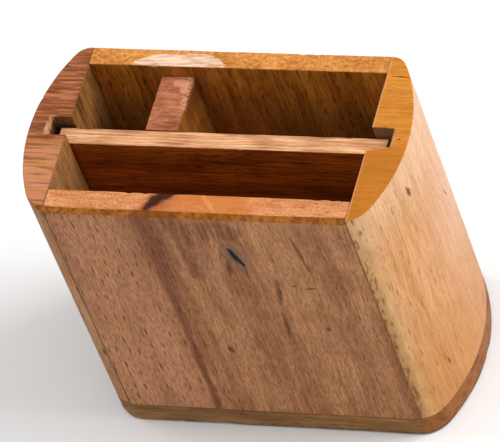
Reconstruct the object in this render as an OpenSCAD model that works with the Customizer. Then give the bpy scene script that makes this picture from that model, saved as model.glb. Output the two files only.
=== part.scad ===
// Wooden pen holder cup: a glued box of five boards with two loose dividers inside.
// Two D-shaped end blocks stand on a base board, a front and a back board join them, and a long
// divider drops into a groove in each end block. A short cross divider stands behind it.
// The origin is the centre of the underside, +X to the right, +Y to the back, +Z up.

/* [Overall size] */
// Width over the two curved ends
body_w = 112; // [100:1:130]
// Depth from the front face to the back face
body_d = 58; // [52:1:64]
// Height with the base board
body_h = 100; // [80:1:120]

/* [Curved ends] */
// Radius of each curved end, seen from above
end_r = 54; // [45:0.5:70]
// Radius that rounds each curved end into the front face
front_corner_r = 9.5; // [3:0.125:14]
// Radius that rounds each curved end into the back face
back_corner_r = 5.375; // [3:0.125:14]

/* [Boards] */
// Thickness of the base board
base_t = 7.6; // [5:0.1:12]
// Thickness of the front board
front_t = 7.5; // [5:0.1:9]
// Thickness of the back board
back_t = 6; // [5:0.1:9]
// Thickness of each end block at the crown of its curve
end_t = 11.7; // [10:0.1:14]
// Chamfer along the top edge of the front board
front_chamfer = 1.4; // [0.5:0.1:3]

/* [Long divider] */
// Thickness of the long divider
divider_t = 5.5; // [4:0.1:6]
// Distance from the rim down to the tops of both dividers
divider_drop = 4.2; // [0:0.1:15]
// Width of the groove that the long divider drops into
groove_w = 6.3; // [6.2:0.1:8]
// Depth of that groove in each end block
groove_depth = 6.2; // [3:0.1:7]
// Where the front side of the groove is, measured from the middle of the body
groove_front_y = -2.3; // [-6:0.1:2]
// Clearance between the long divider and the front side of its groove
groove_play = 0.15; // [0.05:0.05:0.2]
// Gap between each end of the long divider and the bottom of its groove
divider_end_gap = 2; // [0.5:0.1:2.5]

/* [Cross divider] */
// Thickness of the cross divider
cross_t = 9.7; // [5:0.1:14]
// Middle of the cross divider, measured from the middle of the body
cross_x = -18.55; // [-24:0.05:24]
// Gap at each end of the cross divider
cross_gap = 0.2; // [0.1:0.05:0.5]

/* [Hidden] */
$fn = 96;

half_w = body_w / 2;
half_d = body_d / 2;
inner_half_w = half_w - end_t;          // inner face of each end block
wall_h = body_h - base_t;               // height of every piece that stands on the base board
end_cx = half_w - end_r;                // centre of the right end's curve
front_inner_y = -half_d + front_t;
back_inner_y = half_d - back_t;
groove_end_x = inner_half_w + groove_depth;
divider_y = groove_front_y + groove_play;
divider_back_y = divider_y + divider_t;
divider_half_w = groove_end_x - divider_end_gap;
divider_h = wall_h - divider_drop;
cross_front_y = divider_back_y + cross_gap;
cross_len = back_inner_y - cross_gap - cross_front_y;
over = 1;                               // how far a cutter runs past what it cuts

// Centre of the arc of radius r that is tangent to the end's curve and, by side, to the back (1) or
// front (-1) face.
function corner_centre(r, side) =
    [end_cx + sqrt(pow(end_r - r, 2) - pow(half_d - r, 2)), side * (half_d - r)];

// A point well beyond the end's curve, on the line from the curve's centre through corner centre c.
function beyond_curve(c) = [end_cx, 0] + 3 * (c - [end_cx, 0]);

front_c = corner_centre(front_corner_r, -1);
back_c = corner_centre(back_corner_r, 1);

// The rounded corners and the curve of the plan's right end.
module plan_end() {
    translate(front_c) circle(front_corner_r);
    translate(back_c) circle(back_corner_r);
    intersection() {
        translate([end_cx, 0]) circle(end_r);
        polygon([[end_cx, 0], beyond_curve(front_c), [2 * body_w, 0], beyond_curve(back_c)]);
    }
}

// The holder's outline seen from above: flat front and back faces between two curved ends.
module plan() {
    polygon([[-front_c[0], -half_d], [front_c[0], -half_d], front_c, back_c, [back_c[0], half_d],
             [-back_c[0], half_d], [-back_c[0], back_c[1]], [-front_c[0], front_c[1]]]);
    plan_end();
    mirror([1, 0]) plan_end();
}

// The full plan as a solid that stands on the base board.
module standing_plan() {
    translate([0, 0, base_t]) linear_extrude(wall_h) plan();
}

// The right end block in its place: the curved end of the plan, with the divider's groove.
module end_block() {
    difference() {
        intersection() {
            standing_plan();
            translate([inner_half_w, -body_d, 0]) cube([body_w, 2 * body_d, 2 * body_h]);
        }
        translate([inner_half_w - over, groove_front_y, base_t - over])
            cube([groove_depth + over, groove_w, wall_h + 2 * over]);
    }
}

// A board between the end blocks that keeps the plan's outer face, from y0 to y1.
module wall_board(y0, y1) {
    intersection() {
        standing_plan();
        translate([-inner_half_w, y0, 0]) cube([2 * inner_half_w, y1 - y0, 2 * body_h]);
    }
}

module base_board() {
    color("#9a7448") linear_extrude(base_t) plan();
}

module end_block_left() {
    color("#b06a42") mirror([1, 0, 0]) end_block();
}

module end_block_right() {
    color("#e0a763") end_block();
}

module front_board() {
    color("#9c6f52") difference() {
        wall_board(-half_d, front_inner_y);
        translate([0, -half_d, body_h]) rotate([45, 0, 0])
            cube([body_w, front_chamfer * sqrt(2), front_chamfer * sqrt(2)], center = true);
    }
}

module back_board() {
    color("#8a5c26") wall_board(back_inner_y, half_d);
}

module long_divider() {
    color("#d09a68") translate([-divider_half_w, divider_y, base_t])
        cube([2 * divider_half_w, divider_t, divider_h]);
}

module cross_divider() {
    color("#c98466") translate([cross_x - cross_t / 2, cross_front_y, base_t])
        cube([cross_t, cross_len, divider_h]);
}

base_board();
end_block_left();
end_block_right();
front_board();
back_board();
long_divider();
cross_divider();
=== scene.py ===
"""The looks of the wooden pen holder cup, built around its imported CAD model.

Seven worn beech pieces stand for the seven CAD nodes. Each piece is an upright prism whose edges are
rounded, rubbed and chipped, and its wood is a procedural material in the piece's own coordinates.
"""

import math

import bmesh
import bpy
from mathutils import Matrix, Vector, noise


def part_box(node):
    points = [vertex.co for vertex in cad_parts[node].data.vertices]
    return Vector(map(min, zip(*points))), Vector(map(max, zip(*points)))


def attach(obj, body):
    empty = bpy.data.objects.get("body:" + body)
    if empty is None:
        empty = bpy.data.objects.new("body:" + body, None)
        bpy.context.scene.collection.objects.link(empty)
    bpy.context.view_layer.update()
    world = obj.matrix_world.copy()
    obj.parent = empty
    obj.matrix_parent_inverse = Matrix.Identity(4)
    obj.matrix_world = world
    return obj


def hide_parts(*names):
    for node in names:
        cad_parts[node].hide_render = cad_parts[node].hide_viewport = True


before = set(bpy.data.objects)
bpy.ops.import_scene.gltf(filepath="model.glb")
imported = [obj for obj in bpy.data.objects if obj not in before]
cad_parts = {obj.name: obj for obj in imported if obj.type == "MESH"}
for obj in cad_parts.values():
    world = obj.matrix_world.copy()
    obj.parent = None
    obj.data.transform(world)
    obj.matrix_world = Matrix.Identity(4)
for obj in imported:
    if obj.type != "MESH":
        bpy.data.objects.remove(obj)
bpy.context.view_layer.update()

MM = 0.001


# ---- sizes, from the frame and from the plan's curves

FRONT_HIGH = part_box("front_board")[1]
BACK_LOW, BACK_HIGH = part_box("back_board")
LONG_LOW, LONG_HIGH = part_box("long_divider")
CROSS_LOW, CROSS_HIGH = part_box("cross_divider")
BASE_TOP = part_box("base_board")[1].z
RIM = FRONT_HIGH.z
HALF_DEPTH = BACK_HIGH.y
INNER_X = FRONT_HIGH.x
END_RADIUS = 54 * MM
END_CENTRE_X = 2 * MM
FRONT_CORNER = 9.5 * MM
BACK_CORNER = 5.375 * MM
GROOVE_FRONT = -2.3 * MM
GROOVE_BACK = 4 * MM
GROOVE_END = 50.5 * MM
CHAMFER = 1.4 * MM

# The meshes: the steps round a corner and over an edge, the sine of the least turn that is a corner, the
# gap to the rings that hold an edge, the spacing along an outline and in height, the room kept beside a
# wide chip, and the smallest radius of a corner.
CORNER_STEPS = 3
ARRIS_STEPS = 4
SHARP_TURN = 0.35
HOLD = 0.3 * MM
COLUMN = 0.9 * MM
LEVEL = 4 * MM
CLEAR = 2.6 * MM
SMALLEST_RADIUS = 0.03 * MM

# The slow waves of the walls.
WAVE_DEPTH = 0.12 * MM
WAVE_LENGTH = 17 * MM

# Where the pieces are broken. Each pair is where the damage starts and where it is full, and the chip's
# place is its middle.
SPLINTERS_X = (37 * MM, 39 * MM)
BACK_CHIP_X = -25 * MM
BROKEN_EDGE_Y = (7 * MM, 12 * MM)
BROKEN_CORNER_Y = (20.4 * MM, 22 * MM)

# The left block's chamfer fades in between these places.
CHAMFER_FADE_X = (-49.5 * MM, -45 * MM)

# The open crack in the front face.
CRACK = (Vector((6.8 * MM, 0, 84.7 * MM)), Vector((9.2 * MM, 0, 78 * MM)))
CRACK_DEPTH = 0.6 * MM


# ---- shape helpers


def smoothstep(low, high, x):
    t = max(0.0, min(1.0, (x - low) / (high - low)))
    return t * t * (3 - 2 * t)


def rough(point, wavelength, seed=0):
    """Smooth noise from 0 to 1 at a point in space."""
    p = Vector(point) / wavelength + Vector((11.3, 4.7, 8.1)) * (1 + seed)
    return 0.5 + 0.5 * max(-1.0, min(1.0, 1.4 * noise.noise(p)))


def corner_centre(radius, side):
    """Centre of the arc between the end's curve and the back (1) or the front (-1) face."""
    y = side * (HALF_DEPTH - radius)
    return Vector((END_CENTRE_X + math.sqrt((END_RADIUS - radius) ** 2 - y * y), y))


def arc(centre, radius, start, end):
    count = max(2, math.ceil(radius * abs(end - start) / COLUMN))
    angles = [start + (end - start) * i / count for i in range(count + 1)]
    return [centre + radius * Vector((math.cos(a), math.sin(a))) for a in angles]


def curved_end():
    """The right end of the plan, from the end of the flat front to the start of the flat back."""
    end = Vector((END_CENTRE_X, 0))
    front, back = corner_centre(FRONT_CORNER, -1), corner_centre(BACK_CORNER, 1)
    front_turn = math.atan2((front - end).y, (front - end).x)
    back_turn = math.atan2((back - end).y, (back - end).x)
    first = arc(front, FRONT_CORNER, -math.pi / 2, front_turn)
    middle = arc(end, END_RADIUS, front_turn, back_turn)
    last = arc(back, BACK_CORNER, back_turn, math.pi / 2)
    return first + middle[1:] + last[1:]


def front_y(x):
    """Where the plan's front lies at an x on the front corner's arc."""
    centre = corner_centre(FRONT_CORNER, -1)
    return centre.y - math.sqrt(FRONT_CORNER ** 2 - (x - centre.x) ** 2)


def mirrored(points):
    return [Vector((-p.x, p.y)) for p in reversed(points)]


def stretch(points, label, clear=(0.0, 0.0), spacing=COLUMN):
    """Labelled points along part of an outline, all but its last one. clear is how far from the part's
    start and end no point may stand, so that a wide chip at a corner doesn't fold the mesh."""
    made = []
    for a, b in zip(points, points[1:]):
        length = (b - a).length
        first = clear[0] if a is points[0] and clear[0] else 0.0
        last = clear[1] if b is points[-1] and clear[1] else 0.0
        made.append((a, label))
        count = max(1, round((length - first - last) / spacing))
        for i in range(count + 1):
            along = first + (length - first - last) * i / count
            if 0 < along < length - 1e-9:
                made.append((a.lerp(b, along / length), label))
    return made


def board_outline(low, high, labels, clear_label="joint"):
    """A board's outline, counter-clockwise: its front, right, back and left sides. The sides with the clear
    label meet wide chips, so no point stands near their ends."""
    corners = [Vector(p) for p in ((low.x, low.y), (high.x, low.y), (high.x, high.y), (low.x, high.y))]
    made = []
    for a, b, label in zip(corners, corners[1:] + corners[:1], labels):
        tight = min(CLEAR, 0.4 * (b - a).length) if label == clear_label else 0.0
        made += stretch([a, b], label, (tight, tight))
    return made


def outward(a, b):
    along = (b - a).normalized()
    return Vector((along.y, -along.x))


def inset_corner(point, n1, n2, d1, d2):
    """The point moved in so that it is d1 and d2 from the two sides that meet there."""
    turn = n1.x * n2.y - n1.y * n2.x
    if abs(turn) < SHARP_TURN:
        return point - (n1 + n2).normalized() * (d1 + d2) / 2
    return point - Vector((d1 * n2.y - d2 * n1.y, d2 * n1.x - d1 * n2.x)) / turn


def ring(outline, radius, place):
    """One closed ring of a prism, as (point, mark). place(label, point) gives a side's inset, height and
    mark there. A convex corner turns on an arc, and its height and mark blend from side to side."""
    made = []
    for i, (point, label) in enumerate(outline):
        before, label_before = outline[i - 1]
        n1 = outward(before, point)
        n2 = outward(point, outline[(i + 1) % len(outline)][0])
        d1, z1, mark1 = place(label_before, point)
        d2, z2, mark2 = place(label, point)
        moved = inset_corner(point, n1, n2, d1, d2)
        if n1.x * n2.y - n1.y * n2.x < SHARP_TURN:
            made.append((Vector((moved.x, moved.y, (z1 + z2) / 2)), max(mark1, mark2)))
            continue
        turn = n1.angle(n2)
        r = max(radius - min(d1, d2), SMALLEST_RADIUS)
        centre = moved - (n1 + n2).normalized() * r / math.cos(turn / 2)
        start = math.atan2(n1.y, n1.x)
        for k in range(CORNER_STEPS + 1):
            share = k / CORNER_STEPS
            p = centre + r * Vector((math.cos(start + turn * share), math.sin(start + turn * share)))
            made.append((Vector((p.x, p.y, z1 + (z2 - z1) * share)), mark1 + (mark2 - mark1) * share))
    return made


def worn_prism(name, outline, low, high, wear, corner=0.2 * MM, dent=None, level=LEVEL):
    """A prism between two heights. wear(label, point, top) gives (back, down, flat) for the edge of a side:
    how far it is rubbed back and down, and whether as a flat (1) or as a round (0). dent(label, place) is
    how deep the wall is pitted at a place. The mark attribute is 1 on the most worn edges."""

    def wall(label, point, z):
        """How far a side's surface stands back."""
        if label == "joint":
            return 0.0
        here = Vector((point.x, point.y, z))
        pit = dent(label, here) if dent else 0.0
        return WAVE_DEPTH * rough(here, WAVE_LENGTH) + pit

    def edge_place(top, share, hold=0.0):
        """share is 0 where the worn edge meets the wall, and 1 where it meets the cap."""
        round_in, round_up = 1 - math.cos(share * math.pi / 2), math.sin(share * math.pi / 2)
        flat_in = (1 - math.cos(share * math.pi)) / 2

        def place(label, point):
            back, down, flat = wear(label, point, top)
            inset = back * (round_in * (1 - flat) + flat_in * flat)
            rise = down * (round_up * (1 - flat) + flat_in * flat)
            z = high - down + rise if top else low + down - rise
            wave = wall(label, point, high if top else low)
            mark = smoothstep(0.15 * MM, 0.7 * MM, max(back, down)) * (1 - flat)
            return inset + wave + hold, z, 0.0 if hold else mark * (0.3 if share in (0, 1) else 1)
        return place

    def wall_place(share):
        def place(label, point):
            z_low = low + wear(label, point, False)[1] + HOLD
            z_high = high - wear(label, point, True)[1] - HOLD
            z = z_low + (z_high - z_low) * share
            return wall(label, point, z), z, 0.0
        return place

    shares = [k / ARRIS_STEPS for k in range(ARRIS_STEPS + 1)]
    levels = round((high - low) / level)
    places = [edge_place(False, 1, HOLD)] + [edge_place(False, s) for s in reversed(shares)]
    places += [wall_place(k / levels) for k in range(levels + 1)]
    places += [edge_place(True, s) for s in shares] + [edge_place(True, 1, HOLD)]
    return stacked(name, [ring(outline, corner, place) for place in places])


def stacked(name, rings):
    """A smooth closed mesh over a stack of rings, with flat caps."""
    bm = bmesh.new()
    mark = bm.verts.layers.float.new("mark")
    rows = []
    for points in rings:
        row = [bm.verts.new(point) for point, _ in points]
        for vertex, (_, value) in zip(row, points):
            vertex[mark] = value
        rows.append(row)
    for lower, upper in zip(rows, rows[1:]):
        for i in range(len(lower)):
            bm.faces.new((lower[i - 1], lower[i], upper[i], upper[i - 1]))
    caps = [bm.faces.new(list(reversed(rows[0]))), bm.faces.new(rows[-1])]
    bm.normal_update()
    bmesh.ops.triangulate(bm, faces=caps, ngon_method="EAR_CLIP")
    for face in bm.faces:
        face.smooth = len(face.verts) == 4
    mesh = bpy.data.meshes.new(name)
    bm.to_mesh(mesh)
    bm.free()
    piece = bpy.data.objects.new(name, mesh)
    bpy.context.scene.collection.objects.link(piece)
    return piece


# ---- how each piece is worn


def soft_edge(point, size, seed=0):
    """An edge rubbed round, a little more in some places than in others."""
    here = (point.x, point.y, 0)
    size *= 0.6 + 0.8 * rough(here, 7 * MM, seed)
    size += 0.5 * MM * smoothstep(0.78, 0.95, rough(here, 2.6 * MM, seed + 1))
    return size, size, 0.0


def hidden_edge(point, size=0.12 * MM):
    size *= 0.6 + 0.8 * rough((point.x, point.y, 0), 9 * MM)
    return size, size, 0.0


def base_wear(label, point, top):
    if top:
        return hidden_edge(point, 0.16 * MM)
    here = (point.x, point.y, 0)
    size = (0.7 + 0.6 * rough(here, 11 * MM, 3) + 0.5 * smoothstep(0.6, 0.9, rough(here, 4 * MM, 4))) * MM
    return size, size * 0.9, 0.0


def front_wear(label, point, top):
    if not top or label == "joint":
        return hidden_edge(point, 0.2 * MM)
    if label == "front":
        size = CHAMFER * (0.92 + 0.16 * rough((point.x, 0, 0), 9 * MM, 5))
        return size, size, 1.0
    ragged = smoothstep(0.4, 0.7, rough((point.x, 0, 0), 1.5 * MM))
    splinters = smoothstep(*SPLINTERS_X, point.x) * ragged
    size = soft_edge(point, 0.28 * MM, 6)[0] + 0.5 * MM * splinters
    return size, size, 0.0


def back_wear(label, point, top):
    if not top or label == "joint":
        return hidden_edge(point)
    size = soft_edge(point, 0.3 * MM, 7)[0]
    if label == "inner":
        size += 0.9 * MM * smoothstep(1.2 * MM, 0.2 * MM, abs(point.x - BACK_CHIP_X))
    return size, size, 0.0


def long_wear(label, point, top):
    return soft_edge(point, 0.32 * MM, 8) if top else hidden_edge(point)


def cross_wear(label, point, top):
    if not top:
        return hidden_edge(point)
    size = soft_edge(point, 0.3 * MM, 9)[0]
    if label == "right":
        along = smoothstep(*BROKEN_EDGE_Y, point.y)
        size += along * (0.35 + 0.75 * smoothstep(0.35, 0.75, rough((0, point.y, 0), 2.2 * MM, 2))) * MM
        size += 1.2 * MM * smoothstep(*BROKEN_CORNER_Y, point.y)
    return size, size * 0.8, 0.0


def left_block_wear(label, point, top):
    if not top or label == "joint":
        return hidden_edge(point, 0.25 * MM)
    size = soft_edge(point, 0.3 * MM, 10)[0]
    if label == "groove_end":
        size += 0.5 * MM
    if label == "curve" and point.y < 0:
        fading = smoothstep(*CHAMFER_FADE_X, point.x)
        return size + (CHAMFER - size) * fading, size + (CHAMFER - size) * fading, fading
    return size, size, 0.0


def right_block_wear(label, point, top):
    if not top or label == "joint":
        return hidden_edge(point, 0.15 * MM)
    size = soft_edge(point, 0.28 * MM, 11)[0]
    if label == "groove_end":
        size += 1.1 * MM
    if label == "groove_front":
        broken = (GROOVE_END - point.x) / (GROOVE_END - INNER_X)
        back = 0.3 * MM + 1.8 * MM * math.sin(broken * math.pi / 2)
        return back, 0.9 * MM, 0.3
    return size, size, 0.0


def crack(label, here):
    """The open crack in the front board's face."""
    if label != "front":
        return 0.0
    start, end = CRACK
    spot = Vector((here.x, 0, here.z))
    along = max(0.0, min(1.0, (spot - start).dot(end - start) / (end - start).length_squared))
    distance = (spot - start.lerp(end, along)).length
    return CRACK_DEPTH * smoothstep(1.1 * MM, 0.1 * MM, distance)


# ---- the seven pieces


def end_outline():
    """The right end block's outline."""
    joint_front, joint_back = Vector((INNER_X, front_y(INNER_X))), Vector((INNER_X, HALF_DEPTH))
    curve = [p for p in curved_end() if p.x > INNER_X + 0.7 * MM]
    curve = [joint_front] + curve + [joint_back]
    back_inner, front_inner = Vector((INNER_X, BACK_LOW.y)), Vector((INNER_X, FRONT_HIGH.y))
    mouth_back, mouth_front = Vector((INNER_X, GROOVE_BACK)), Vector((INNER_X, GROOVE_FRONT))
    end_back, end_front = Vector((GROOVE_END, GROOVE_BACK)), Vector((GROOVE_END, GROOVE_FRONT))
    return (
        stretch(curve, "curve")
        + stretch([joint_back, back_inner], "joint", (CLEAR, 0))
        + stretch([back_inner, mouth_back], "inner")
        + stretch([mouth_back, end_back], "groove_back", (0, CLEAR))
        + stretch([end_back, end_front], "groove_end")
        + stretch([end_front, mouth_front], "groove_front", (CLEAR, 0))
        + stretch([mouth_front, front_inner], "inner", (CLEAR, 0))
        + stretch([front_inner, joint_front], "joint", (0, CLEAR))
    )


def mirrored_outline(outline):
    """The outline mirrored in X. Each side keeps its label."""
    points = [Vector((-p.x, p.y)) for p, _ in outline]
    labels = [label for _, label in outline]
    count = len(outline)
    return [(points[-i % count], labels[(-i - 1) % count]) for i in range(count)]


def make_base():
    end = curved_end()
    outline = stretch(end, "curve") + stretch([end[-1], Vector((-end[-1].x, end[-1].y))], "curve")
    left = mirrored(end)
    outline += stretch(left, "curve") + stretch([left[-1], end[0]], "curve")
    return worn_prism("worn_base_board", outline, 0.0, BASE_TOP, base_wear, level=1.2 * MM)


def make_front():
    end = [p for p in curved_end() if p.x < INNER_X - 0.3 * MM and p.y < 0]
    end.append(Vector((INNER_X, front_y(INNER_X))))
    right_back, left_back = Vector((INNER_X, FRONT_HIGH.y)), Vector((-INNER_X, FRONT_HIGH.y))
    outline = stretch(mirrored(end) + end, "front", spacing=0.6 * MM)
    outline += stretch([end[-1], right_back], "joint", (CLEAR, 1.2 * MM))
    outline += stretch([right_back, left_back], "inner")
    outline += stretch([left_back, Vector((-INNER_X, end[-1].y))], "joint", (1.2 * MM, CLEAR))
    return worn_prism("worn_front_board", outline, BASE_TOP, RIM, front_wear, dent=crack, level=0.9 * MM)


def make_back():
    outline = board_outline(BACK_LOW, BACK_HIGH, ("inner", "joint", "back", "joint"))
    return worn_prism("worn_back_board", outline, BASE_TOP, RIM, back_wear)


def make_long():
    outline = board_outline(LONG_LOW, LONG_HIGH, ("front", "joint", "back", "joint"))
    return worn_prism("worn_long_divider", outline, LONG_LOW.z, LONG_HIGH.z, long_wear)


def make_cross():
    outline = board_outline(CROSS_LOW, CROSS_HIGH, ("front", "right", "back", "left"), "back")
    return worn_prism("worn_cross_divider", outline, CROSS_LOW.z, CROSS_HIGH.z, cross_wear, corner=0.3 * MM)


def make_block(name, outline, wear):
    return worn_prism(name, outline, BASE_TOP, RIM, wear, corner=0.25 * MM, level=3 * MM)


# ---- wood

# How much each pattern counts in a wood's tone, the spacing of the rings, how far the fibre drifts and the
# depth of the bump in millimetres, and the coat's shine.
BROAD_SHARE = 0.35
STREAK_SHARE = 0.4
MOTTLE_SHARE = 0.25
RING_SHARE = 0.2
RING_SPACING = 3.2
GRAIN_DRIFT = 4
BUMP_DEPTH = 0.07
SPECULAR = 0.14

# The glue lines' screen colour.
SEAM = (92, 50, 30)

# Directions to face, and the axes along which a mark is measured when it goes right through the wood.
FRONTWARD = (0, -1, 0)
BACKWARD = (0, 1, 0)
LEFTWARD = (-1, 0, 0)
RIGHTWARD = (1, 0, 0)
UPWARD = (0, 0, 1)
THROUGH_Y = (1, 0, 1)
THROUGH_Z = (1, 1, 0)


def srgb(red, green, blue):
    """A linear colour from screen values of 0 to 255."""
    def linear(c):
        c /= 255
        return c / 12.92 if c <= 0.04045 else ((c + 0.055) / 1.055) ** 2.4
    return linear(red), linear(green), linear(blue), 1.0


class Wood:
    """Builds one wood's node tree. Its lengths are millimetres, and self.grain holds the place as (across,
    across, along the fibre), drifting a little sideways as real grain does."""

    def __init__(self, name, fibre, seed, drift):
        self.material = bpy.data.materials.new(name)
        self.material.use_nodes = True
        self.tree = self.material.node_tree
        self.tree.nodes.clear()
        self.seed = seed
        coordinates = self.add("TexCoord").outputs
        self.place = self.vector("MULTIPLY", coordinates["Object"], (1000, 1000, 1000))
        self.normal = coordinates["Normal"]
        self.x, self.y, self.z = self.split(self.place)
        self.up = self.split(self.normal)[2]
        order = {"X": (self.z, self.y, self.x), "Z": (self.x, self.y, self.z)}[fibre]
        self.grain = self.join(*order)
        wander = self.vector("SUBTRACT", self.noise((24, 24, 60), 1, colour=True), (0.5, 0.5, 0.5))
        self.grain = self.vector("MULTIPLY_ADD", wander, (drift, drift, 0), self.grain)

    def add(self, kind, **settings):
        node = self.tree.nodes.new("ShaderNode" + kind)
        for key, value in settings.items():
            setattr(node, key, value)
        return node

    def feed(self, sockets, values):
        for socket, value in zip(sockets, values):
            if isinstance(value, bpy.types.NodeSocket):
                self.tree.links.new(value, socket)
            else:
                socket.default_value = value

    def math(self, operation, *values, clamp=False):
        node = self.add("Math", operation=operation, use_clamp=clamp)
        self.feed(node.inputs, values)
        return node.outputs[0]

    def vector(self, operation, *values):
        node = self.add("VectorMath", operation=operation)
        self.feed(node.inputs, values)
        return node.outputs["Value" if operation in ("LENGTH", "DOT_PRODUCT") else "Vector"]

    def split(self, vector):
        node = self.add("SeparateXYZ")
        self.feed(node.inputs, [vector])
        return node.outputs

    def join(self, x, y, z):
        node = self.add("CombineXYZ")
        self.feed(node.inputs, (x, y, z))
        return node.outputs[0]

    def step(self, value, low, high):
        """0 up to low, 1 from high, and smooth between. low may be above high."""
        node = self.add("MapRange", interpolation_type="SMOOTHSTEP")
        flip = low > high
        self.feed(node.inputs, (value, min(low, high), max(low, high), float(flip), float(not flip)))
        return node.outputs[0]

    def times(self, *values):
        product = values[0]
        for value in values[1:]:
            product = self.math("MULTIPLY", product, value)
        return product

    def most(self, *values):
        largest = values[0]
        for value in values[1:]:
            largest = self.math("MAXIMUM", largest, value)
        return largest

    def mix(self, factor, a, b, blend="MIX"):
        node = self.add("Mix", data_type="RGBA", blend_type=blend)
        self.feed((node.inputs[0], node.inputs[6], node.inputs[7]), (factor, a, b))
        return node.outputs[2]

    def paint(self, colour, over, *masks):
        """A colour with a screen colour painted over it, as strongly as the product of the masks."""
        return self.mix(self.times(*masks), colour, srgb(*over))

    def facing(self, direction):
        """1 on the faces that look in a direction."""
        return self.step(self.vector("DOT_PRODUCT", self.normal, direction), 0.45, 0.65)

    def noise(self, lengths, seed, detail=2.0, colour=False, space=None):
        """Noise with the given wavelengths."""
        offset = Vector((3.1, 7.7, 5.3)) * (self.seed + seed)
        scaled = self.vector("MULTIPLY_ADD", space or self.grain, [1 / n for n in lengths], offset)
        node = self.add("TexNoise")
        node.inputs["Scale"].default_value = 1.0
        node.inputs["Detail"].default_value = detail
        self.tree.links.new(scaled, node.inputs["Vector"])
        return node.outputs[1 if colour else 0]

    def patches(self, lengths, seed, detail=2.0, low=0.35, high=0.65, space=None):
        """Noise sharpened into lighter and darker patches."""
        return self.step(self.noise(lengths, seed, detail, space=space), low, high)

    def dashes(self, spacing, size, seed, share=0.5, scatter=0.85):
        """Short marks along the fibre, one to a cell, in about that share of the cells."""
        offset = Vector((5.9, 2.3, 8.3)) * (self.seed + seed)
        cells = self.vector("MULTIPLY_ADD", self.grain, [1 / n for n in spacing], offset)
        node = self.add("TexVoronoi")
        node.inputs["Scale"].default_value = 1.0
        node.inputs["Randomness"].default_value = scatter
        self.tree.links.new(cells, node.inputs["Vector"])
        aside = self.vector("SUBTRACT", cells, node.outputs["Position"])
        shape = [s / w if w else 0.0 for s, w in zip(spacing, size)]
        distance = self.vector("LENGTH", self.vector("MULTIPLY", aside, shape))
        chance = self.split(node.outputs["Color"])[0]
        chosen = self.step(chance, share + 0.15, share - 0.15)
        return self.times(self.step(distance, 1.0, 0.3), chosen)

    def rings(self, pith, spacing):
        """Growth rings round a pith, darkening slowly and ending sharply."""
        aside = self.vector("SUBTRACT", self.grain, (pith[0], pith[1], 0))
        radius = self.vector("LENGTH", self.vector("MULTIPLY", aside, (1, 1, 0)))
        uneven = self.math("MULTIPLY_ADD", self.noise((6, 6, 60), 43), spacing * 5, radius)
        turn = self.math("FRACT", self.math("DIVIDE", uneven, spacing))
        return self.times(self.step(turn, 0.3, 0.9), self.step(turn, 1.0, 0.92))

    def stroke(self, start, end, width, reach=(1, 1, 1), ragged=0.7, soft=1.0):
        """A spindle-shaped mark between two places, width to either side at its middle, with uneven edges.
        reach is 0 along an axis in which the mark goes right through the wood."""
        scatter = self.vector("SUBTRACT", self.noise((1.6, 1.6, 4), 31, colour=True), (0.5, 0.5, 0.5))
        here = self.vector("MULTIPLY_ADD", scatter, [ragged * width * 2] * 3, self.place)
        start, along = Vector(start) * Vector(reach), (Vector(end) - Vector(start)) * Vector(reach)
        aside = self.vector("SUBTRACT", self.vector("MULTIPLY", here, reach), start)
        share = self.vector("DOT_PRODUCT", aside, along / along.length_squared)
        share = self.math("MULTIPLY", share, 1.0, clamp=True)
        node = self.add("VectorMath", operation="SCALE")
        self.feed((node.inputs[0], node.inputs[3]), (along, share))
        distance = self.vector("LENGTH", self.vector("SUBTRACT", aside, node.outputs[0]))
        from_middle = self.math("ABSOLUTE", self.math("SUBTRACT", share, 0.5))
        tapered = self.math("MULTIPLY_ADD", from_middle, width * 1.2, distance)
        return self.step(tapered, width * (1 + soft / 2), width * (1 - soft / 2))

    def spot(self, centre, radii, ragged=0.25, soft=0.35):
        """An oval mark with uneven edges. A radius of 0 lets it go right through the wood."""
        aside = self.vector("SUBTRACT", self.place, centre)
        shape = [1 / r if r else 0.0 for r in radii]
        distance = self.vector("LENGTH", self.vector("MULTIPLY", aside, shape))
        uneven = self.math("MULTIPLY_ADD", self.noise((2, 2, 5), 32), ragged * 2, -ragged)
        return self.step(self.math("ADD", distance, uneven), 1 + soft / 2, 1 - soft / 2)

    def finish(self, colour, gloss, height, depth):
        """Ends the tree in a shader, with roughness between two values and depth millimetres of bump."""
        shader = self.add("BsdfPrincipled")
        output = self.add("OutputMaterial")
        bump = self.add("Bump")
        bump.inputs["Distance"].default_value = depth * MM
        bump.inputs["Strength"].default_value = 1.0
        self.tree.links.new(height, bump.inputs["Height"])
        roughness = self.add("MapRange")
        self.feed(roughness.inputs, (self.noise((2.5, 2.5, 12), 41), 0.3, 0.7, *gloss))
        self.tree.links.new(roughness.outputs[0], shader.inputs["Roughness"])
        self.tree.links.new(colour, shader.inputs["Base Color"])
        self.tree.links.new(bump.outputs[0], shader.inputs["Normal"])
        shader.inputs["Specular IOR Level"].default_value = SPECULAR
        self.tree.links.new(shader.outputs[0], output.inputs[0])
        return self.material


def toned(wood, pair, seed, pith):
    """Wood between a pair of (pale, dark) screen colours, by broad bands, streaks, mottle and rings."""
    broad = wood.patches((7, 7, 90), seed, 1)
    streaks = wood.patches((0.9, 0.9, 30), seed + 1, 3, 0.3, 0.7)
    mottle = wood.patches((6, 6, 10), seed + 2, 3)
    tone = wood.math("MULTIPLY_ADD", broad, BROAD_SHARE, wood.times(streaks, STREAK_SHARE))
    tone = wood.math("MULTIPLY_ADD", mottle, MOTTLE_SHARE, tone)
    tone = wood.math("MULTIPLY_ADD", wood.rings(pith, RING_SPACING), -RING_SHARE, tone, clamp=True)
    return wood.mix(tone, srgb(*pair[1]), srgb(*pair[0]))


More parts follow.
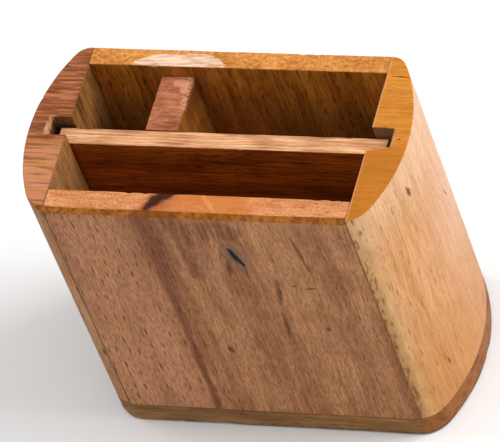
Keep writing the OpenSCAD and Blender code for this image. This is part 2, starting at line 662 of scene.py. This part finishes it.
def end_grain(wood, pair, lengths):
    """The coated end grain on a piece's top, as lines of the given lengths along X and Y."""
    lines = wood.patches((lengths[0], lengths[1], 9), 18, 3, 0.3, 0.7, wood.place)
    cloud = wood.patches((9, 6, 9), 19, 2, 0.3, 0.7, wood.place)
    tone = wood.math("MULTIPLY_ADD", lines, 0.6, wood.times(cloud, 0.4))
    colour = wood.mix(tone, srgb(*pair[1]), srgb(*pair[0]))
    pores = wood.patches((0.4 + lengths[0] / 4, 0.5, 0.5), 24, 1, 0.56, 0.72, wood.place)
    return wood.paint(colour, [c * 0.65 for c in pair[1]], pores, 0.4)


def beech(name, fibre, seed, sides, top=None, lines=(4, 0.8), inside=None, facing=None, pith=(0, 60),
          rows=0.6, flecks=0.4, strength=0.9, dark=(72, 32, 10), fibres=(4, 0.24), thin=0, density=None,
          zones=None, features=None, bare=(216, 176, 132)):
    """Beech wood. sides, top and inside are (pale, dark) screen colours of the outer faces, of the faces that
    look up, and of the faces that look in the facing direction. rows and flecks are how many dashes show in
    even rows and how many lie between them, dark is their colour, and thin is the axis across which they are
    thinnest. fibres is the length and the contrast of the finest grain. density(wood) is how strong the
    rows are at a place. zones(wood, colour) paints a piece's own areas under the grain, and
    features(wood, colour) its marks over it."""
    wood = Wood(name, fibre, seed, drift=GRAIN_DRIFT)
    colour = toned(wood, sides, 10, pith=pith)
    if inside:
        colour = wood.mix(wood.facing(facing), colour, toned(wood, inside, 14, pith=pith))
    if zones:
        colour = zones(wood, colour)
    turned = 1 - 2 * thin
    row_marks = wood.dashes((3.4, 2.4)[::turned] + (5.4,), (0.3, 1.8)[::turned] + (2.5,), 6, rows, 0.5)
    if density:
        row_marks = wood.times(row_marks, density(wood))
    loose_marks = wood.dashes((1.3, 1.6)[::turned] + (3.2,), (0.17, 1.1)[::turned] + (1.3,), 7, flecks)
    marks = wood.most(row_marks, wood.times(loose_marks, 0.75))
    colour = wood.paint(colour, dark, marks, strength)
    if top:
        colour = wood.mix(wood.step(wood.up, 0.3, 0.6), colour, end_grain(wood, top, lines))
    grain = wood.patches((0.55, 0.55, fibres[0]), 4, 2, 0.3, 0.7)
    shade = wood.math("MULTIPLY_ADD", grain, fibres[1], 1 - fibres[1] / 2)
    colour = wood.mix(1.0, colour, wood.join(shade, shade, shade), "MULTIPLY")
    if features:
        colour = features(wood, colour)
    mark = wood.add("Attribute", attribute_name="mark").outputs["Fac"]
    rubbed = wood.times(wood.step(mark, 0.3, 0.8), wood.patches((2.4, 2.4, 3), 9, 3, 0.3, 0.7))
    if bare:
        colour = wood.paint(colour, bare, rubbed, 0.7)
    height = wood.math("MULTIPLY_ADD", marks, -0.6, wood.times(grain, 0.6))
    return wood.finish(colour, (0.45, 0.65), height, BUMP_DEPTH)


def walls(wood):
    """0 on the faces that look up, and 1 on the walls and the underside."""
    return wood.step(wood.up, 0.6, 0.3)


def seams(wood, colour, strength=0.6):
    """Dark glue lines where the boards meet the end blocks and the base."""
    across = wood.math("SUBTRACT", wood.math("ABSOLUTE", wood.x), INNER_X / MM)
    up = wood.math("SUBTRACT", wood.z, BASE_TOP / MM)
    beside, below = [wood.step(wood.math("ABSOLUTE", v), 0.38, 0.1) for v in (across, up)]
    sideways = wood.math("ABSOLUTE", wood.split(wood.normal)[0])
    line = wood.most(wood.times(beside, wood.step(sideways, 0.8, 0.6)), below)
    return wood.paint(colour, SEAM, line, strength)


def dark_band(wood):
    """The dark band down the front board, wide at the top and as thin as a line at the bottom."""
    centre = wood.math("MULTIPLY_ADD", wood.z, 0.02, -16.9)
    wobble = wood.math("MULTIPLY_ADD", wood.noise((5, 5, 16), 33), 3.4, -1.7)
    off = wood.math("ABSOLUTE", wood.math("SUBTRACT", wood.math("ADD", wood.x, wobble), centre))
    wide = wood.math("MULTIPLY_ADD", wood.step(wood.z, 45, 98), 4.6, 1.1)
    core = wood.step(wood.math("DIVIDE", off, wide), 1.5, 0.1)
    return wood.times(core, wood.math("MULTIPLY_ADD", wood.noise((0.8, 0.8, 16), 34), 0.8, 0.35))


def front_rows(wood):
    """The front face's dashes stand in clear rows on its left third only."""
    return wood.math("MULTIPLY_ADD", wood.step(wood.x, -6, -16), 0.55, 0.45)


def front_zones(wood, colour):
    """The pinkish left third, the band, and the swirl round the crack in the front face."""
    face = wood.facing(FRONTWARD)
    pink = wood.times(wood.step(wood.x, -12, -24), face)
    colour = wood.paint(colour, (190, 130, 94), pink, 0.45)
    colour = wood.paint(colour, (112, 56, 28), dark_band(wood), face)
    dusk = wood.most(wood.spot((-6, 0, 86), (6, 0, 15)), wood.spot((5, 0, 93.5), (8, 0, 4.5)),
                     wood.times(wood.spot((14, 0, 30), (20, 0, 24), 0.6, 0.8), 0.25))
    dusk = wood.times(dusk, wood.patches((1.2, 1.2, 18), 35, 3, 0.3, 0.6), face)
    colour = wood.paint(colour, (114, 62, 30), dusk, 0.65)
    fan = wood.most(
        wood.stroke((-11, 0, 99), (-8, 0, 70), 1.3, THROUGH_Y, soft=1.8),
        wood.stroke((-1, 0, 99), (-3.5, 0, 66), 1.3, THROUGH_Y, soft=1.8),
        wood.stroke((3.5, 0, 90), (-1, 0, 60), 1.2, THROUGH_Y, soft=1.8),
        wood.stroke((5.6, 0, 90), (7, 0, 87), 1.5, THROUGH_Y, soft=1.4),
    )
    colour = wood.paint(colour, (192, 134, 96), fan, face, 0.5)
    halo = wood.stroke((6.6, 0, 87.5), (9.4, 0, 76), 3.2, THROUGH_Y, soft=1.6)
    colour = wood.paint(colour, (110, 88, 76), halo, face, 0.75)
    edge = wood.times(wood.step(wood.x, 40.5, 43.5), wood.step(wood.z, 75, 45), face)
    return wood.paint(colour, (110, 56, 28), edge, 0.5)


def front_features(wood, colour):
    """The front board's dark streaks and crack, its knot, and the amber wood beside the knot."""
    face, top = wood.facing(FRONTWARD), wood.facing(UPWARD)
    streaks = wood.most(
        wood.stroke((5.4, 0, 80), (4.1, 0, 73), 0.9, THROUGH_Y, soft=1.6),
        wood.stroke((26.4, 0, 92), (28.4, 0, 77), 0.55, THROUGH_Y, soft=1.8),
        wood.stroke((17.6, 0, 72), (16, 0, 60.5), 0.75, THROUGH_Y, soft=1.8),
        wood.stroke((15.4, 0, 56), (14.5, 0, 44.5), 0.6, THROUGH_Y, soft=1.8),
        wood.stroke((25.2, 0, 68.4), (28.5, 0, 68.7), 0.5, THROUGH_Y),
        wood.stroke((21.4, 0, 69.2), (22.7, 0, 69.7), 0.45, THROUGH_Y),
        wood.stroke((26.8, 0, 48.8), (27.2, 0, 50.4), 0.6, THROUGH_Y),
        wood.stroke((-5.4, 0, 38.6), (-4.8, 0, 36.2), 0.8, THROUGH_Y),
    )
    colour = wood.paint(colour, (88, 42, 12), streaks, face, 0.8)
    # Painted shade: the open crack is painted near black for the shadow inside it, over a dent only 0.6 mm
    # deep.
    dark = wood.stroke((6.6, 0, 85.2), (9.3, 0, 77.8), 0.95, THROUGH_Y, 0.3, 0.7)
    colour = wood.paint(colour, (16, 11, 9), dark, face, 0.97)
    amber = wood.times(wood.spot((2, -25, 100), (15, 8, 0), 0.4, 0.7), top)
    colour = wood.paint(colour, (198, 112, 48), amber, 0.7)
    ray = wood.stroke((0.5, -20.5, 100), (7.5, -29, 100), 0.6, THROUGH_Z, soft=1.4)
    colour = wood.paint(colour, (238, 172, 106), ray, top, 0.3)
    blush = wood.stroke((-6.5, -20.5, 100), (-15.5, -28.5, 100), 3.4, THROUGH_Z, 0.4, 1.6)
    colour = wood.paint(colour, (160, 84, 48), blush, top, 0.75)
    knot = wood.most(
        wood.stroke((-5.8, -20.4, 100), (-12.6, -24, 100), 1.5, THROUGH_Z, 0.35, 0.9),
        wood.stroke((-9.6, -21.2, 100), (-14.2, -27, 100), 2.1, THROUGH_Z, 0.35, 0.9),
    )
    colour = wood.paint(colour, (52, 18, 8), knot, top, 0.96)
    return seams(wood, shaded_coat_band(wood, colour))


def shaded_coat_band(wood, colour):
    """The amber coat on the sloping band along the top front edge, darkened there as painted shade."""
    not_flat = wood.step(wood.up, 0.93, 0.85)
    not_upright = wood.step(wood.up, 0.35, 0.5)
    # Painted shade: the faces that slope to the front get the coat's amber, painted darker.
    shaded_slope = wood.times(wood.facing((0, -0.7, 0.7)), not_flat, not_upright)
    coat_in_shade = wood.mix(wood.patches((1.2, 1.2, 8), 36, 3), srgb(132, 70, 12), srgb(176, 108, 34))
    red = wood.spot((-11.5, -28, 99), (7, 0, 0))
    coat_in_shade = wood.paint(coat_in_shade, (128, 58, 16), red, 0.6)
    return wood.mix(wood.times(shaded_slope, 0.95), colour, coat_in_shade)


def back_bounce_light(wood, colour):
    """Painted bounced light: an olive glow on the lower part of the back board's inner face."""
    low = wood.times(wood.step(wood.z, 92, 80), wood.facing(FRONTWARD))
    # Painted light: the lower inner face is turned olive, as light bounced onto it.
    return wood.paint(colour, (166, 120, 54), low, 0.35)


def back_features(wood, colour):
    """A bare patch on the back board's top, where the coat never took."""
    patch = wood.most(
        wood.spot((-19.8, 22, 100), (11.8, 5.4, 0), 0.16, 0.12),
        wood.spot((-12.5, 23.8, 100), (8, 3.9, 0), 0.16, 0.12),
        wood.spot((-8.6, 22.6, 100), (4.9, 4.2, 0), 0.16, 0.12),
    )
    patch = wood.times(patch, wood.facing(UPWARD))
    bare = wood.mix(wood.patches((5, 0.7, 5), 37, space=wood.place), srgb(206, 158, 118), srgb(240, 208, 186))
    return seams(wood, wood.mix(wood.times(patch, 0.95), colour, bare), 0.3)


def in_groove(wood):
    """1 on the walls of an end block's groove."""
    middle = (GROOVE_FRONT + GROOVE_BACK) / 2 / MM
    off = wood.math("ABSOLUTE", wood.math("SUBTRACT", wood.y, middle))
    near = wood.step(off, 3.6, 3.3)
    inward = wood.step(wood.math("ABSOLUTE", wood.x), GROOVE_END / MM + 0.6, GROOVE_END / MM + 0.3)
    return wood.times(near, inward, walls(wood))


def right_zones(wood, colour):
    """A yellow edge and a pinkish back on the right block's curved side, and its dull groove."""
    side = walls(wood)
    back = wood.times(wood.step(wood.y, -16, 16), side)
    colour = wood.paint(colour, (222, 182, 154), back, 0.6)
    pink = wood.patches((2.4, 2.4, 12), 47, 3, 0.48, 0.66)
    colour = wood.paint(colour, (222, 156, 122), pink, 0.3)
    # Painted highlight: the curved side is lightened towards the top.
    high = wood.times(wood.step(wood.z, 76, 100), side)
    colour = wood.paint(colour, (230, 194, 158), high, 0.4)
    # Painted shade: the curved side is darkened towards the bottom.
    low = wood.times(wood.step(wood.z, 60, 15), side)
    colour = wood.paint(colour, (192, 132, 74), low, 0.7)
    near_joint = wood.math("MULTIPLY_ADD", wood.noise((4, 4, 9), 44), 6, wood.x)
    yellow = wood.times(wood.step(near_joint, 53, 49), wood.step(wood.y, -10, -20), side)
    colour = wood.paint(colour, (226, 182, 124), yellow, 0.55)
    return wood.paint(colour, (124, 88, 58), in_groove(wood), 0.9)


def right_features(wood, colour):
    """Darker amber at the front of the right block's top, and flecks and scratches."""
    top = wood.facing(UPWARD)
    front_top = wood.times(wood.step(wood.y, 6, -8), top)
    colour = wood.paint(colour, (174, 100, 24), front_top, 0.6)
    inner_edge = wood.times(wood.step(wood.x, INNER_X / MM + 0.7, INNER_X / MM + 0.3), top)
    colour = wood.paint(colour, (222, 162, 118), inner_edge, 0.6)
    flecks = wood.most(
        wood.stroke((55.2, -9.3, 90.8), (55.2, -8.7, 86.4), 0.85),
        wood.stroke((47.2, -27.8, 95.5), (47.2, -27.8, 92), 0.6),
        wood.stroke((46.4, -28.2, 65), (46.6, -28.2, 61), 0.5),
        wood.stroke((45.6, -28.4, 24), (45.6, -28.4, 17), 0.5),
        wood.stroke((50.5, -22.8, 58), (50.8, -22, 52), 0.4),
        wood.stroke((52.8, -17.4, 23), (53, -16.8, 18.5), 0.4),
        wood.stroke((54.8, 10.6, 64), (54.5, 12.9, 58.5), 0.3),
        wood.stroke((46, 21.9, 100), (51.8, 21.7, 100), 0.22),
        wood.stroke((52.9, 0, 100), (53.3, 0.2, 100), 0.45),
    )
    colour = wood.paint(colour, (92, 42, 8), flecks, 0.9)
    side = walls(wood)
    by_joint = wood.times(wood.step(wood.x, 48, 44.5), wood.step(wood.z, 130, 10), side)
    colour = wood.paint(colour, (164, 106, 52), by_joint, 0.6)
    stains = wood.times(wood.patches((1, 1, 2.8), 45, 6, 0.5, 0.6), wood.step(wood.x, 47.6, 44.5), side)
    colour = wood.paint(colour, (124, 72, 32), stains, 0.7)
    brown = wood.spot((54.8, 11.2, 12), (2, 2, 1.6))
    return wood.paint(seams(wood, colour, 0.35), (170, 108, 58), brown, 0.45)


def left_zones(wood, colour):
    """The lighter front of the left block's inner face, and its groove, darkening downwards in painted shade.
    """
    front = wood.times(wood.facing(RIGHTWARD), wood.step(wood.y, 0, -6))
    streaks = wood.patches((1.4, 1.4, 30), 48, 2)
    colour = wood.paint(colour, (186, 134, 84), front, streaks, 0.6)
    colour = wood.paint(colour, (104, 66, 40), in_groove(wood), 0.8)
    # Painted shade: the groove's walls go near black downwards, for the shadow deep in the groove beside the
    # long divider's end.
    colour = wood.paint(colour, (28, 14, 8), in_groove(wood), wood.step(wood.z, 98, 94), 0.8)
    # Pale bare wood at the torn top of the groove's end, and painted light for the lit upper part of that end
    # wall.
    uneven = wood.math("MULTIPLY_ADD", wood.noise((1, 1, 1.6), 50), 4, wood.z)
    torn_and_lit = wood.times(in_groove(wood), wood.step(wood.x, -49.8, -50.2), wood.step(uneven, 99.6, 100.4))
    return wood.paint(colour, (212, 158, 118), torn_and_lit, 0.85)


def left_features(wood, colour):
    """Pinkish and yellow bands, and dark streaks, along the left block's top."""
    top = wood.facing(UPWARD)
    bands = wood.patches((40, 1.6, 40), 38, 2, 0.4, 0.6, wood.place)
    front = wood.times(wood.step(wood.y, -2, -8), top)
    banded = wood.mix(bands, srgb(208, 138, 98), srgb(208, 146, 78))
    colour = wood.mix(wood.times(front, 0.7), colour, banded)
    dark = wood.patches((14, 0.8, 14), 46, 3, 0.48, 0.62, wood.place)
    colour = wood.paint(colour, (104, 44, 22), dark, top, 0.6)
    pale = wood.patches((9, 1.1, 9), 49, 3, 0.52, 0.66, wood.place)
    colour = wood.paint(colour, (216, 150, 104), pale, top, 0.3)
    return seams(wood, shaded_coat_band(wood, colour), 0.75)


def base_zones(wood, colour):
    """Orange and reddish wood at the base's right end."""
    side = walls(wood)
    right = wood.times(wood.step(wood.x, 36, 47), side)
    colour = wood.paint(colour, (150, 92, 45), right, 0.8)
    blotches = wood.times(wood.patches((4, 4, 5), 39, 2, 0.5, 0.62), wood.step(wood.x, 20, 44), side)
    return wood.paint(colour, (128, 62, 32), blotches, 0.7)


def base_features(wood, colour):
    """The darker ragged strip along the base's bottom edge, and the glue line at its top."""
    ragged_height = wood.math("ADD", wood.z, wood.math("MULTIPLY_ADD", wood.noise((2, 2, 2), 40), 4, -2))
    # Darker towards the bottom edge.
    colour = wood.paint(colour, (70, 46, 30), wood.step(ragged_height, 1.6, 0.2), 0.6)
    line = wood.step(wood.z, BASE_TOP / MM - 0.35, BASE_TOP / MM - 0.1)
    side = walls(wood)
    return wood.paint(colour, SEAM, line, side, 0.6)


def cross_zones(wood, colour):
    """Darker wood under the cross divider's broken edge."""
    below = wood.times(wood.facing(RIGHTWARD), wood.step(wood.z, 84, 92), wood.step(wood.y, 8, 14))
    return wood.paint(colour, (84, 40, 16), below, 0.6)


def cross_features(wood, colour):
    """The broken back right corner of the cross divider's top, and the pale splinters along its edges."""
    top = wood.facing(UPWARD)
    corner = wood.most(
        wood.spot((-17, 20.4, 100), (2.3, 1.4, 0), 0.35, 0.5),
        wood.spot((-15.6, 19.2, 100), (1.2, 2.2, 0), 0.35, 0.5),
        wood.times(wood.step(wood.y, 22.1, 22.5), wood.step(wood.x, -20, -18)),
    )
    colour = wood.paint(colour, (220, 156, 122), corner, top, 0.6)
    right, back = wood.step(wood.x, -15.9, -14.9), wood.step(wood.y, 9, 12)
    edge = wood.times(right, back, wood.step(wood.z, 93.5, 94.6))
    specks = wood.patches((0.6, 0.6, 0.6), 51, 4, 0.48, 0.58, wood.place)
    return wood.paint(colour, (216, 164, 124), edge, specks, 0.6)


def make_woods():
    """Each piece's wood."""
    brown = ((208, 130, 46), (136, 72, 14))
    light = ((180, 124, 68), (112, 70, 32))
    return {
        "base": beech(
            "base_wood", "X", 1, ((166, 122, 72), (116, 80, 40)),
            inside=brown, facing=UPWARD, pith=(0, -60), rows=0.3, flecks=0.3,
            zones=base_zones, features=base_features, bare=None,
        ),
        "left": beech(
            "left_wood", "Z", 2, ((190, 136, 90), (130, 82, 44)),
            top=((178, 106, 66), (110, 54, 28)), lines=(12, 0.9), inside=light, facing=RIGHTWARD,
            pith=(-60, -90), thin=1, zones=left_zones, features=left_features,
        ),
        "right": beech(
            "right_wood", "Z", 3, ((216, 163, 110), (182, 124, 72)),
            top=((214, 138, 50), (182, 110, 34)), lines=(14, 0.8), inside=light, facing=LEFTWARD,
            pith=(60, 140), rows=0.3, flecks=0.8, strength=0.75, dark=(146, 84, 34), fibres=(9, 0.16), thin=1,
            zones=right_zones, features=right_features,
        ),
        "front": beech(
            "front_wood", "Z", 4, ((200, 142, 97), (148, 95, 54)),
            top=((222, 154, 104), (188, 114, 62)), lines=(5, 0.9), inside=brown, facing=BACKWARD,
            pith=(0, 70), rows=0.95, flecks=0.75, strength=0.95, dark=(72, 26, 0), fibres=(2.4, 0.38),
            density=front_rows, zones=front_zones, features=front_features,
        ),
        "back": beech(
            "back_wood", "Z", 5, ((190, 136, 92), (146, 94, 56)),
            top=((230, 158, 82), (172, 100, 36)), lines=(1.5, 1.1),
            inside=((222, 142, 56), (146, 80, 18)), facing=FRONTWARD, pith=(0, 90),
            rows=0.95, flecks=0.85, dark=(80, 22, 2), zones=back_bounce_light, features=back_features,
        ),
        "long": beech(
            "long_wood", "X", 6, ((190, 100, 26), (118, 52, 10)),
            top=((236, 182, 136), (176, 112, 70)), lines=(16, 0.75),
            rows=0.9, flecks=0.8, dark=(46, 10, 0), fibres=(11, 0.44),
        ),
        "cross": beech(
            "cross_wood", "Z", 7, ((182, 112, 46), (126, 72, 24)),
            top=((192, 121, 86), (134, 70, 43)), lines=(5, 1.2), thin=1,
            zones=cross_zones, features=cross_features, bare=None,
        ),
    }


# ---- setting

FLOOR_HALF_SIZE = 3.0
FLOOR_GAP = 0.02 * MM
LIGHT_AIM = Vector((0, 0, 50 * MM))


def floor():
    """A pale floor, wide enough to fill every view."""
    bm = bmesh.new()
    bmesh.ops.create_grid(bm, x_segments=1, y_segments=1, size=FLOOR_HALF_SIZE)
    mesh = bpy.data.meshes.new("floor")
    bm.to_mesh(mesh)
    bm.free()
    plane = bpy.data.objects.new("floor", mesh)
    bpy.context.scene.collection.objects.link(plane)
    material = bpy.data.materials.new("floor_white")
    material.use_nodes = True
    shader = material.node_tree.nodes["Principled BSDF"]
    shader.inputs["Base Color"].default_value = (0.92, 0.92, 0.92, 1)
    shader.inputs["Roughness"].default_value = 0.9
    shader.inputs["Specular IOR Level"].default_value = 0.1
    mesh.materials.append(material)
    plane.location.z = -FLOOR_GAP


def softbox(name, azimuth, elevation, distance, size, power):
    """A square area light that faces the holder. Azimuth 0 is in front, and 90 on the right."""
    data = bpy.data.lights.new(name, "AREA")
    data.size = size
    data.energy = power
    lamp = bpy.data.objects.new(name, data)
    tilt = Matrix.Rotation(math.radians(90 - elevation), 4, "X")
    turn = Matrix.Rotation(math.radians(azimuth), 4, "Z") @ tilt
    lamp.matrix_world = turn
    lamp.location = LIGHT_AIM + turn @ Vector((0, 0, distance))
    bpy.context.scene.collection.objects.link(lamp)


def lights():
    softbox("key", 105, 42, 1.6, 0.9, 21)
    softbox("top_fill", 20, 80, 1.6, 1.6, 6)
    softbox("left_fill", -100, 32, 1.6, 1.0, 8)
    world = bpy.data.worlds.new("studio")
    world.use_nodes = True
    world.node_tree.nodes["Background"].inputs["Color"].default_value = (1, 1, 1, 1)
    world.node_tree.nodes["Background"].inputs["Strength"].default_value = 0.4
    bpy.context.scene.world = world


def camera():
    """The camera stands right of the front, looks down at the holder, and is rolled to the right."""
    azimuth, elevation, roll = math.radians(31.385), math.radians(49.064), math.radians(-22.373)
    aim, distance = Vector((-3.27, 4.0, 54.44)) * MM, 1.5647
    data = bpy.data.cameras.new("camera")
    data.sensor_width = 36
    data.lens = 397.6
    viewer = bpy.data.objects.new("camera", data)
    turn = Matrix.Rotation(azimuth, 4, "Z") @ Matrix.Rotation(math.pi / 2 - elevation, 4, "X")
    eye = aim + turn @ Vector((0, 0, distance))
    viewer.matrix_world = Matrix.Translation(eye) @ turn @ Matrix.Rotation(roll, 4, "Z")
    bpy.context.scene.collection.objects.link(viewer)
    bpy.context.scene.camera = viewer


def dress(piece, node, body, material):
    piece.data.materials.append(material)
    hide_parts(node)
    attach(piece, body)


camera()
woods = make_woods()
dress(make_base(), "base_board", "holder", woods["base"])
dress(make_block("worn_end_block_left", mirrored_outline(end_outline()), left_block_wear),
      "end_block_left", "holder", woods["left"])
dress(make_block("worn_end_block_right", end_outline(), right_block_wear),
      "end_block_right", "holder", woods["right"])
dress(make_front(), "front_board", "holder", woods["front"])
dress(make_back(), "back_board", "holder", woods["back"])
dress(make_long(), "long_divider", "long_divider", woods["long"])
dress(make_cross(), "cross_divider", "cross_divider", woods["cross"])
floor()
lights()
bpy.context.scene.view_settings.view_transform = "Standard"
